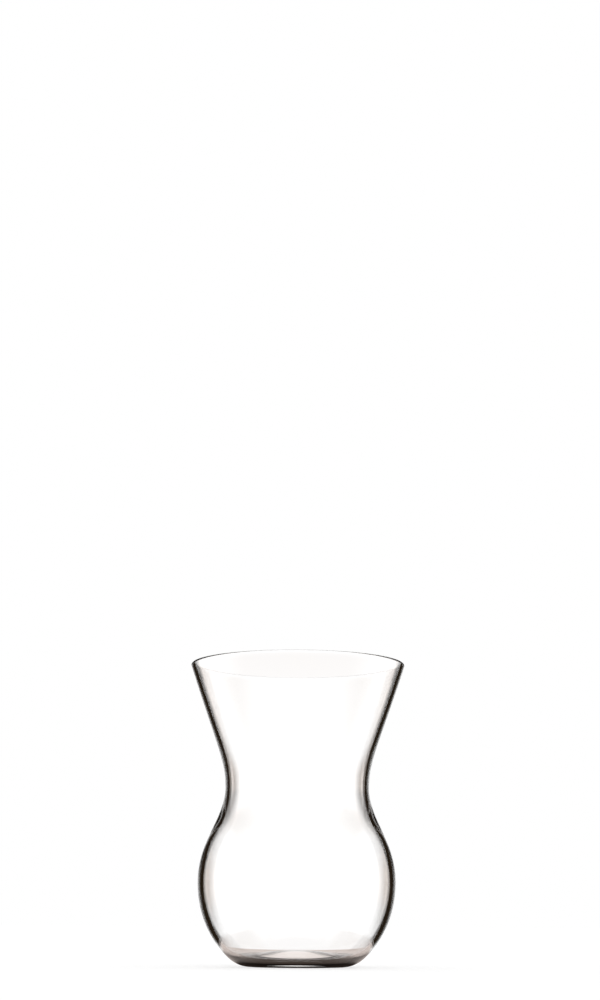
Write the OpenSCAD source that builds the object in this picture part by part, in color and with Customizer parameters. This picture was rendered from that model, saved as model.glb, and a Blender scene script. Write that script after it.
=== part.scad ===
// Chai glass: an empty, clear, handleless tea tumbler, turned about the Z axis.
// It stands on Z = 0, with the middle of its foot at the origin. Millimetres.
// The object is one piece of moulded soda-lime glass, so it is one solid.

/* [Outside] */
// Overall height, from the table to the top of the rim
height = 88.6; // [75:0.1:110]
// Diameter over the rim
rim_d = 63; // [54:0.1:74]
// Narrowest outside diameter, at the waist
waist_d = 42.2; // [34:0.1:50]
// Height of the waist above the table
waist_z = 52.3; // [44:0.1:62]
// Widest outside diameter of the round lower bowl
bulge_d = 57.8; // [51:0.1:70]
// Height of the widest place of the bowl
bulge_z = 24.3; // [20:0.1:32]
// Outside diameter of the flat ring that the glass stands on
foot_d = 26.7; // [20:0.1:34]
// Radius of the heel that rounds the foot into the bowl
heel_r = 9.2; // [3:0.1:12]
// Slope at which the heel meets the bowl, in degrees above the table
heel_angle = 37.7; // [25:0.1:50]
// Lean of the wall at the rim, in degrees from upright
flare_angle = 17.9; // [10:0.1:24]

/* [Walls] */
// Wall thickness at the rim, which ends in a full round
rim_t = 1.25; // [0.8:0.05:2.5]
// Wall thickness at the waist
waist_t = 1.75; // [1:0.05:3]
// Wall thickness at the widest place of the bowl
bulge_t = 1.85; // [1.2:0.05:3]
// Height of the corner inside, where the floor turns up into the wall
corner_z = 3.1; // [2.5:0.1:6]
// Thickness of the glass outside that corner, measured level
corner_t = 2.9; // [2.3:0.1:6]
// Slope of the inside at that corner, in degrees above the table
corner_angle = 30; // [24:1:45]
// Height of the inside floor above the table, at its middle
floor_z = 4.3; // [3.5:0.1:8]

/* [Underside] */
// Width of the flat ring that the glass stands on
ring_w = 2.5; // [0.6:0.1:5]
// Height of the hollow inside that ring, at its middle
punt_depth = 2.4; // [0.2:0.1:3]
// Slope at which that hollow rises from the ring, in degrees above the table
punt_angle = 17; // [1:1:25]

/* [Hidden] */

glass_colour = [0.86, 0.88, 0.88, 0.4];

// Segments round the turned solid, and points along each curve of the outline
round_segments = 180;
curve_points = 14;
heel_points = 8;
rim_points = 12;

// Lengths of the curves' handles, as shares of the rise of the curve they belong to:
// at the heel and under the bulge, then over the bulge, under and over the waist, and
// at the rim
outer_bowl_shares = [0.25, 0.49];
outer_side_shares = [0.453, 0.35, 0.207, 0.68];
// The same for the inside of the bowl, and from there up to the rim
inner_bowl_shares = [0.34, 0.35];
inner_side_shares = [0.55, 0.4, 0.22, 0.76];
// The handles of the floor and of the hollow, as shares of their own radius: first at
// the middle, then at the edge
floor_shares = [0.73, 0.31];
punt_shares = [0.42, 0.11];

rim_r = rim_t / 2;
up = [0, 1];
outward = [1, 0];
flare = [sin(flare_angle), cos(flare_angle)];
flare_normal = [cos(flare_angle), -sin(flare_angle)];
heel_slope = [cos(heel_angle), sin(heel_angle)];

foot_edge = [foot_d / 2, 0];
heel_centre = foot_edge + heel_r * up;
heel_end = heel_centre + heel_r * [sin(heel_angle), -cos(heel_angle)];
bulge = [bulge_d / 2, bulge_z];
waist = [waist_d / 2, waist_z];
rim_centre = [rim_d / 2 - rim_r, height - rim_r];
inner_bulge = bulge - bulge_t * outward;
inner_waist = waist - waist_t * outward;
floor_middle = [0, floor_z];
corner_slope = [cos(corner_angle), sin(corner_angle)];
punt_middle = [0, punt_depth];
punt_edge = foot_edge - ring_w * outward;
punt_slope = [cos(punt_angle), -sin(punt_angle)];

// Points on a cubic curve from a to d, without a itself
function curve(a, b, c, d) = [
    for (i = [1:curve_points])
        let (t = i / curve_points, s = 1 - t)
            s * s * s * a + 3 * s * s * t * b + 3 * s * t * t * c + t * t * t * d
];

// Points on an arc from angle a0 to a1, with both ends
function arc(centre, r, a0, a1, count) = [
    for (i = [0:count])
        let (a = a0 + (a1 - a0) * i / count)
            centre + r * [cos(a), sin(a)]
];

// The same curve walked from its last point to its first
function reversed(points) = [for (i = [len(points) - 1:-1:0]) points[i]];

// One side of the wall, up from the bulge through the waist to the rim
function side(low, mid, high, shares) = concat(
    curve(
        low,
        low + shares[0] * (mid.y - low.y) * up,
        mid - shares[1] * (mid.y - low.y) * up,
        mid
    ),
    curve(
        mid,
        mid + shares[2] * (high.y - mid.y) * up,
        high - shares[3] * (high.y - mid.y) * flare,
        high
    )
);

function heel_outline() = concat(
    arc(heel_centre, heel_r, -90, heel_angle - 90, heel_points),
    curve(
        heel_end,
        heel_end + outer_bowl_shares[0] * (bulge.y - heel_end.y) * heel_slope,
        bulge - outer_bowl_shares[1] * (bulge.y - heel_end.y) * up,
        bulge
    )
);

function outer_outline() = concat(
    heel_outline(),
    side(bulge, waist, rim_centre + rim_r * flare_normal, outer_side_shares)
);

// Outside radius at a height below the bulge
function outer_r(z) = lookup(z, [for (point = heel_outline()) [point.y, point.x]]);

corner = [outer_r(corner_z) - corner_t, corner_z];

function inner_outline() = concat(
    [floor_middle],
    curve(
        floor_middle,
        floor_middle + floor_shares[0] * corner.x * outward,
        corner - floor_shares[1] * corner.x * corner_slope,
        corner
    ),
    curve(
        corner,
        corner + inner_bowl_shares[0] * (inner_bulge.y - corner.y) * corner_slope,
        inner_bulge - inner_bowl_shares[1] * (inner_bulge.y - corner.y) * up,
        inner_bulge
    ),
    side(inner_bulge, inner_waist, rim_centre - rim_r * flare_normal, inner_side_shares)
);

function rim_outline() = arc(rim_centre, rim_r, -flare_angle, 180 - flare_angle, rim_points);

function punt_outline() = concat(
    [punt_middle],
    curve(
        punt_middle,
        punt_middle + punt_shares[0] * punt_edge.x * outward,
        punt_edge - punt_shares[1] * punt_edge.x * punt_slope,
        punt_edge
    )
);

module glass() {
    color(glass_colour)
        rotate_extrude($fn = round_segments)
            polygon(concat(
                punt_outline(),
                outer_outline(),
                rim_outline(),
                reversed(inner_outline())
            ));
}

glass();
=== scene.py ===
"""Looks of the chai glass: one clear, turned tumbler on a white table."""

import math

import bmesh
import bpy
import numpy as np
from mathutils import Matrix


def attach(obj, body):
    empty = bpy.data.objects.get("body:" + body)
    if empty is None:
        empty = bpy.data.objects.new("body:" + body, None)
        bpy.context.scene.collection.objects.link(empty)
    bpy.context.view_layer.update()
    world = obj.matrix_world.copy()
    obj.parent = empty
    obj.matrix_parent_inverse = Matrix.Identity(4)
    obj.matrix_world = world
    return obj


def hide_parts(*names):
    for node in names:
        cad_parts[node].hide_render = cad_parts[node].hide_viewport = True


MM = 0.001
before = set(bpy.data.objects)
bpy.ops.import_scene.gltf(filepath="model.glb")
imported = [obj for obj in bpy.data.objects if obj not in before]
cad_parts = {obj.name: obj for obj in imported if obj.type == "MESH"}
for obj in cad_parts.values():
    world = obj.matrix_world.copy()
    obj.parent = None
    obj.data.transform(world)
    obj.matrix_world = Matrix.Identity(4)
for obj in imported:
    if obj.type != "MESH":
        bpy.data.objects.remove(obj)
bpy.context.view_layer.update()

# The camera, with its focal length and shifts in pixels of a picture of 600 x 1000
IMAGE_H = 1000
SENSOR = 36.0
FOCAL_PX = 1909.0
CAMERA_DISTANCE = 560 * MM
CAMERA_HEIGHT = 13.0 * MM
CAMERA_PITCH = math.radians(7.22)
CAMERA_ROLL = math.radians(0.3266)
AXIS_LEFT_PX = 2.2
FRAME_RAISE_PX = 180
NEAREST = 10 * MM

# The glass in millimetres, with the same names and sizes as in part.scad
HEIGHT = 88.6
RIM_D = 63
WAIST_D = 42.2
WAIST_Z = 52.3
BULGE_D = 57.8
BULGE_Z = 24.3
FOOT_D = 26.7
HEEL_R = 9.2
HEEL_ANGLE = math.radians(37.7)
FLARE_ANGLE = math.radians(17.9)
RIM_T = 1.25
WAIST_T = 1.75
BULGE_T = 1.85
CORNER_Z = 3.1
CORNER_T = 2.9
CORNER_ANGLE = math.radians(30)
FLOOR_Z = 4.3
RING_W = 2.5
PUNT_DEPTH = 2.4
PUNT_ANGLE = math.radians(17)
OUTER_BOWL_SHARES = (0.25, 0.49)
OUTER_SIDE_SHARES = (0.453, 0.35, 0.207, 0.68)
INNER_BOWL_SHARES = (0.34, 0.35)
INNER_SIDE_SHARES = (0.55, 0.4, 0.22, 0.76)
FLOOR_SHARES = (0.73, 0.31)
PUNT_SHARES = (0.42, 0.11)

# Directions and places in the half section, as (radius, height)
UP = np.array((0.0, 1.0))
OUTWARD = np.array((1.0, 0.0))
RIM_R = RIM_T / 2
RIM_CENTRE = np.array((RIM_D / 2 - RIM_R, HEIGHT - RIM_R))
WAIST = np.array((WAIST_D / 2, WAIST_Z))
BULGE = np.array((BULGE_D / 2, BULGE_Z))

# How finely the glass is turned, and the fold from which an edge is drawn sharp
CURVE_POINTS = 64
ARC_POINTS = 24
ROUND_SEGMENTS = 256
SHARP_FROM = math.radians(8)

# Clear soda-lime glass: a faint warm tint through its depth, and the slow waves and the
# slightly uneven polish that a mould leaves on its skin
GLASS_IOR = 1.5
TINT = (0.95, 0.9, 0.86)
TINT_DENSITY = 8.0
WAVE_SCALE = 70.0
WAVE_DETAIL = 0.0
WAVE_DEPTH = 0.012 * MM
POLISH_SCALE = 400.0
POLISH_DETAIL = 3.0
POLISH_ROUGHNESS = (0.0, 0.02)

# The table and the air behind it are white where they are seen, and dimmer as light
TABLE_SIZE = 8.0
TABLE_DROP = 0.1 * MM
TABLE_GREY = (0.4, 0.4, 0.4)
TABLE_GLOW = 0.68
WHITE = (1.0, 1.0, 1.0)
AIR_LIGHT = (0.9, 0.9, 0.9)

# The studio as it shows in and through the glass. Its colours change softly from the
# first to the second angle of each pair: turned aside from straight behind the glass,
# and raised above level.
TENT_R = 1.2
STUDIO_SEGMENTS = 160
TURN_EDGES = ((9, 20), (42, 46), (86, 121))
RISE_EDGES = ((-19, -7), (2, 10), (28, 33), (55, 66))
# Its surfaces: white paper and the haze before it, the lamp, the wall that the lamp
# lights, pale and brown wall, the dim ceiling and black cloth
PAPER = (1.05, 1.05, 1.05)
HAZE = (0.97, 0.95, 0.94)
LAMP = (1.5, 1.5, 1.5)
LIT_WALL = (1.5, 1.35, 1.25)
PALE = (0.92, 0.88, 0.86)
BROWN = (0.35, 0.25, 0.15)
CEILING = (0.55, 0.52, 0.5)
BLACK = (0.018, 0.012, 0.007)
# From the table up to the ceiling: the white backdrop with its lamp above, the black
# flags beside it, the lit walls beyond them and the camera's side
BACKDROP = (PAPER, PAPER, HAZE, LAMP, CEILING)
FLAGS = (BLACK, BLACK, BLACK, PALE, CEILING)
WALLS = (LAMP, LIT_WALL, PALE, BROWN, CEILING)
CAMERA_SIDE = (PALE, PAPER, PAPER, LAMP, CEILING)

# The glass's shadow on the table round the foot, painted as glowing colours that show only
# through the glass: from the middle out, with the radii in millimetres between which each colour
# changes
SHADE_R = 35
SHADE_RINGS = 70
SHADE_DROP = 0.05 * MM
# Painted shade of the table: lighter under the foot, darkest round the heel, dimmer under the bowl
FOOT_PAINTED_SHADE = (0.82, 0.74, 0.7)
HEEL_SHADOW = (0.045, 0.033, 0.027)
BOWL_PAINTED_SHADE = (0.63, 0.55, 0.51)
SHADE_COLOURS = (FOOT_PAINTED_SHADE, HEEL_SHADOW, BOWL_PAINTED_SHADE, WHITE)
SHADE_EDGES = ((10.5, 13), (17, 19.5), (30, 44))


def direction(angle):
    return np.array((math.cos(angle), math.sin(angle)))


def curve(a, b, c, d):
    """Points on a cubic curve from a to d, without a itself."""
    t = np.linspace(0, 1, CURVE_POINTS + 1)[1:, None]
    s = 1 - t
    return s**3 * a + 3 * s * s * t * b + 3 * s * t * t * c + t**3 * d


def arc(centre, radius, start, end):
    angles = np.linspace(start, end, ARC_POINTS + 1)
    return np.array([centre + radius * direction(a) for a in angles])


def side(low, mid, high, shares):
    """One side of the wall, up from the bulge through the waist to the rim."""
    flare = direction(math.pi / 2 - FLARE_ANGLE)
    lower = mid[1] - low[1]
    upper = high[1] - mid[1]
    below = curve(low, low + shares[0] * lower * UP, mid - shares[1] * lower * UP, mid)
    above = curve(mid, mid + shares[2] * upper * UP, high - shares[3] * upper * flare, high)
    return np.vstack((below, above))


def underside():
    """The hollow inside the ring of the foot, from its middle out."""
    middle = np.array((0.0, PUNT_DEPTH))
    edge = np.array((FOOT_D / 2 - RING_W, 0.0))
    hollow = curve(
        middle,
        middle + PUNT_SHARES[0] * edge[0] * OUTWARD,
        edge - PUNT_SHARES[1] * edge[0] * direction(-PUNT_ANGLE),
        edge,
    )
    return np.vstack((middle, hollow))


def outer_bowl():
    """The outside from the foot up to the bulge: the heel's arc, then the bowl's curve."""
    heel_centre = np.array((FOOT_D / 2, HEEL_R))
    heel = arc(heel_centre, HEEL_R, -math.pi / 2, HEEL_ANGLE - math.pi / 2)
    heel_end = heel[-1]
    rise = BULGE_Z - heel_end[1]
    bowl = curve(
        heel_end,
        heel_end + OUTER_BOWL_SHARES[0] * rise * direction(HEEL_ANGLE),
        BULGE - OUTER_BOWL_SHARES[1] * rise * UP,
        BULGE,
    )
    return np.vstack((heel, bowl))


def inside(outer):
    """The inside from the middle of the floor up to the rim, set off from the outer bowl."""
    corner_r = np.interp(CORNER_Z, outer[:, 1], outer[:, 0]) - CORNER_T
    corner = np.array((corner_r, CORNER_Z))
    corner_slope = direction(CORNER_ANGLE)
    middle = np.array((0.0, FLOOR_Z))
    floor = curve(
        middle,
        middle + FLOOR_SHARES[0] * corner_r * OUTWARD,
        corner - FLOOR_SHARES[1] * corner_r * corner_slope,
        corner,
    )
    bulge = BULGE - BULGE_T * OUTWARD
    rise = BULGE_Z - CORNER_Z
    bowl = curve(
        corner,
        corner + INNER_BOWL_SHARES[0] * rise * corner_slope,
        bulge - INNER_BOWL_SHARES[1] * rise * UP,
        bulge,
    )
    waist = WAIST - WAIST_T * OUTWARD
    rim = RIM_CENTRE - RIM_R * direction(-FLARE_ANGLE)
    return np.vstack((middle, floor, bowl, side(bulge, waist, rim, INNER_SIDE_SHARES)))


def glass_outline():
    """The closed half section, from the middle of the underside round to that of the floor."""
    bowl = outer_bowl()
    rim_start = RIM_CENTRE + RIM_R * direction(-FLARE_ANGLE)
    wall = side(BULGE, WAIST, rim_start, OUTER_SIDE_SHARES)
    rim = arc(RIM_CENTRE, RIM_R, -FLARE_ANGLE, math.pi - FLARE_ANGLE)[1:-1]
    return np.vstack((underside(), bowl, wall, rim, inside(bowl)[::-1])) * MM


def neighbours(segments):
    """Each place on a ring of vertices, with the next one round."""
    return [(j, (j + 1) % segments) for j in range(segments)]


def ring_vertices(outline, segments):
    """One ring of vertices round Z for each point of the outline."""
    angles = np.linspace(0, 2 * math.pi, segments, endpoint=False)
    return [(r * math.cos(a), r * math.sin(a), z) for r, z in outline for a in angles]


def ring_faces(count, segments):
    """The faces between so many rings, each ring joined to the one after it."""
    faces = []
    for j, k in neighbours(segments):
        for low in range(0, (count - 1) * segments, segments):
            high = low + segments
            faces.append((low + j, low + k, high + k, high + j))
    return faces


def new_mesh(name, vertices, faces):
    mesh = bpy.data.meshes.new(name)
    mesh.from_pydata(vertices, [], faces)
    return mesh


def new_object(name, data):
    piece = bpy.data.objects.new(name, data)
    bpy.context.scene.collection.objects.link(piece)
    return piece


def turned(name, outline):
    """A closed mesh: the outline turned round Z, with one vertex where it meets the axis."""
    between = outline[1:-1]
    vertices = ring_vertices(between, ROUND_SEGMENTS)
    first = len(vertices)
    last = first + 1
    vertices += [(0, 0, outline[0][1]), (0, 0, outline[-1][1])]
    last_ring = first - ROUND_SEGMENTS
    faces = ring_faces(len(between), ROUND_SEGMENTS)
    for j, k in neighbours(ROUND_SEGMENTS):
        faces.append((first, k, j))
        faces.append((last, last_ring + j, last_ring + k))
    mesh = new_mesh(name, vertices, faces)
    for polygon in mesh.polygons:
        polygon.use_smooth = True
    mesh.set_sharp_from_angle(angle=SHARP_FROM)
    return new_object(name, mesh)


def new_material(name):
    material = bpy.data.materials.new(name)
    material.use_nodes = True
    material.node_tree.nodes.clear()
    return material, material.node_tree.nodes, material.node_tree.links


def noise(nodes, links, scale, detail):
    """Noise fixed to the object, at so many features a metre."""
    place = nodes.new("ShaderNodeTexCoord")
    node = nodes.new("ShaderNodeTexNoise")
    node.inputs["Scale"].default_value = scale
    node.inputs["Detail"].default_value = detail
    links.new(place.outputs["Object"], node.inputs["Vector"])
    return node.outputs["Fac"]


def glass_material():
    material, nodes, links = new_material("clear_glass")
    out = nodes.new("ShaderNodeOutputMaterial")
    shader = nodes.new("ShaderNodeBsdfPrincipled")
    shader.inputs["Base Color"].default_value = (*WHITE, 1)
    shader.inputs["IOR"].default_value = GLASS_IOR
    shader.inputs["Transmission Weight"].default_value = 1
    polish = nodes.new("ShaderNodeMapRange")
    polish.inputs["To Min"].default_value, polish.inputs["To Max"].default_value = POLISH_ROUGHNESS
    links.new(noise(nodes, links, POLISH_SCALE, POLISH_DETAIL), polish.inputs["Value"])
    links.new(polish.outputs["Result"], shader.inputs["Roughness"])
    waves = nodes.new("ShaderNodeBump")
    waves.inputs["Distance"].default_value = WAVE_DEPTH
    links.new(noise(nodes, links, WAVE_SCALE, WAVE_DETAIL), waves.inputs["Height"])
    links.new(waves.outputs["Normal"], shader.inputs["Normal"])
    depth = nodes.new("ShaderNodeVolumeAbsorption")
    depth.inputs["Color"].default_value = (*TINT, 1)
    depth.inputs["Density"].default_value = TINT_DENSITY
    links.new(shader.outputs["BSDF"], out.inputs["Surface"])
    links.new(depth.outputs["Volume"], out.inputs["Volume"])
    return material


def make_camera():
    data = bpy.data.cameras.new("camera")
    data.sensor_width = SENSOR
    data.lens = FOCAL_PX / IMAGE_H * SENSOR
    data.shift_x = AXIS_LEFT_PX / IMAGE_H
    data.shift_y = FRAME_RAISE_PX / IMAGE_H
    data.clip_start = NEAREST
    camera = new_object("camera", data)
    camera.location = (0, -CAMERA_DISTANCE, CAMERA_HEIGHT)
    camera.rotation_euler = (math.pi / 2 + CAMERA_PITCH, 0, 0)
    bpy.context.view_layer.update()
    camera.matrix_world = camera.matrix_world @ Matrix.Rotation(CAMERA_ROLL, 4, "Z")
    bpy.context.scene.camera = camera
    return camera


def seen_mix(nodes, links, seen, unseen):
    """The first shader where the camera, a reflection or glass sees it, the second as light."""
    path = nodes.new("ShaderNodeLightPath")
    is_seen = path.outputs["Is Camera Ray"]
    for kind in ("Is Glossy Ray", "Is Transmission Ray"):
        either = nodes.new("ShaderNodeMath")
        either.operation = "MAXIMUM"
        links.new(is_seen, either.inputs[0])
        links.new(path.outputs[kind], either.inputs[1])
        is_seen = either.outputs[0]
    mix = nodes.new("ShaderNodeMixShader")
    links.new(is_seen, mix.inputs["Fac"])
    links.new(unseen, mix.inputs[1])
    links.new(seen, mix.inputs[2])
    return mix.outputs[0]


def make_air():
    """White all round where it is seen, and a little dimmer as light."""
    world = bpy.data.worlds.new("air")
    bpy.context.scene.world = world
    world.use_nodes = True
    nodes, links = world.node_tree.nodes, world.node_tree.links
    nodes.clear()
    out = nodes.new("ShaderNodeOutputWorld")
    white = nodes.new("ShaderNodeBackground")
    white.inputs["Color"].default_value = (*WHITE, 1)
    light = nodes.new("ShaderNodeBackground")
    light.inputs["Color"].default_value = (*AIR_LIGHT, 1)
    links.new(seen_mix(nodes, links, white.outputs[0], light.outputs[0]), out.inputs["Surface"])


def make_table():
    """The white table top. Through the glass, the studio and the shade show in its place."""
    mesh = bpy.data.meshes.new("table")
    shape = bmesh.new()
    bmesh.ops.create_grid(shape, size=TABLE_SIZE / 2)
    shape.to_mesh(mesh)
    shape.free()
    table = new_object("table", mesh)
    table.location = (0, 0, -TABLE_DROP)
    material, nodes, links = new_material("white_table")
    out = nodes.new("ShaderNodeOutputMaterial")
    top = nodes.new("ShaderNodeBsdfDiffuse")
    top.inputs["Color"].default_value = (*TABLE_GREY, 1)
    glow = nodes.new("ShaderNodeEmission")
    glow.inputs["Color"].default_value = (*WHITE, 1)
    glow.inputs["Strength"].default_value = TABLE_GLOW
    dark = nodes.new("ShaderNodeEmission")
    dark.inputs["Strength"].default_value = 0
    both = nodes.new("ShaderNodeAddShader")
    links.new(top.outputs[0], both.inputs[0])
    links.new(seen_mix(nodes, links, glow.outputs[0], dark.outputs[0]), both.inputs[1])
    links.new(both.outputs[0], out.inputs["Surface"])
    mesh.materials.append(material)
    table.visible_transmission = False
    table.visible_glossy = False


def zones(values, edges):
    """How far each value lies in each zone; the zones meet softly at the edges."""
    steps = []
    for start, end in edges:
        t = np.clip((values - start) / (end - start), 0, 1)
        steps.append(t * t * (3 - 2 * t))
    one = np.ones_like(values)
    entered = [one, *steps]
    left = [*steps, 0 * one]
    return np.array([a * (1 - b) for a, b in zip(entered, left)]).T


def vertex_places(mesh):
    places = np.empty(3 * len(mesh.vertices))
    mesh.vertices.foreach_get("co", places)
    return places.reshape(-1, 3)


def glowing(name, mesh, colours):
    """An object that glows in one colour per vertex. It shows in the glass alone."""
    light = mesh.color_attributes.new("light", "FLOAT_COLOR", "POINT")
    light.data.foreach_set("color", np.hstack((colours, np.ones((len(colours), 1)))).ravel())
    material, nodes, links = new_material(name)
    out = nodes.new("ShaderNodeOutputMaterial")
    read = nodes.new("ShaderNodeAttribute")
    read.attribute_name = "light"
    glow = nodes.new("ShaderNodeEmission")
    links.new(read.outputs["Color"], glow.inputs["Color"])
    links.new(glow.outputs[0], out.inputs["Surface"])
    mesh.materials.append(material)
    piece = new_object(name, mesh)
    piece.visible_camera = False
    piece.visible_diffuse = False
    piece.visible_shadow = False
    return piece


def make_tent(camera):
    """The studio round the glass. It goes with the camera, so the backdrop stays behind.

    In its own axes, as in the camera's, -Z is straight behind the glass and Y is up.
    """
    mesh = bpy.data.meshes.new("tent")
    shape = bmesh.new()
    bmesh.ops.create_uvsphere(
        shape, u_segments=STUDIO_SEGMENTS, v_segments=STUDIO_SEGMENTS, radius=TENT_R
    )
    shape.to_mesh(mesh)
    shape.free()
    x, y, z = vertex_places(mesh).T
    turn = np.degrees(np.arctan2(abs(x), -z))
    rise = np.degrees(np.arcsin(np.clip(y / TENT_R, -1, 1)))
    columns = np.array((BACKDROP, FLAGS, WALLS, CAMERA_SIDE))
    colours = np.einsum("vc,vr,crk->vk", zones(turn, TURN_EDGES), zones(rise, RISE_EDGES), columns)
    tent = glowing("tent", mesh, colours)
    tent.parent = camera
    tent.location = (0, 0, -CAMERA_DISTANCE)
    tent.rotation_euler = (-CAMERA_PITCH, 0, 0)


def make_shade():
    """The table under and close round the foot with the glass's shadow painted on, as it shows
    through the glass.
    """
    radii = np.linspace(SHADE_R, 0, SHADE_RINGS, endpoint=False) * MM
    vertices = ring_vertices([(r, 0) for r in radii], STUDIO_SEGMENTS)
    middle = len(vertices)
    vertices.append((0, 0, 0))
    last_ring = middle - STUDIO_SEGMENTS
    faces = ring_faces(SHADE_RINGS, STUDIO_SEGMENTS)
    faces += [(middle, last_ring + j, last_ring + k) for j, k in neighbours(STUDIO_SEGMENTS)]
    mesh = new_mesh("shade", vertices, faces)
    x, y, _ = vertex_places(mesh).T
    colours = zones(np.hypot(x, y) / MM, SHADE_EDGES) @ np.array(SHADE_COLOURS)
    shade = glowing("shade", mesh, colours)
    shade.location = (0, 0, -SHADE_DROP)


bpy.context.scene.view_settings.view_transform = "Standard"
camera = make_camera()
make_air()
make_table()
make_tent(camera)
make_shade()
glass = turned("glass_tumbler", glass_outline())
glass.data.materials.append(glass_material())
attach(glass, "root")
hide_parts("glass")
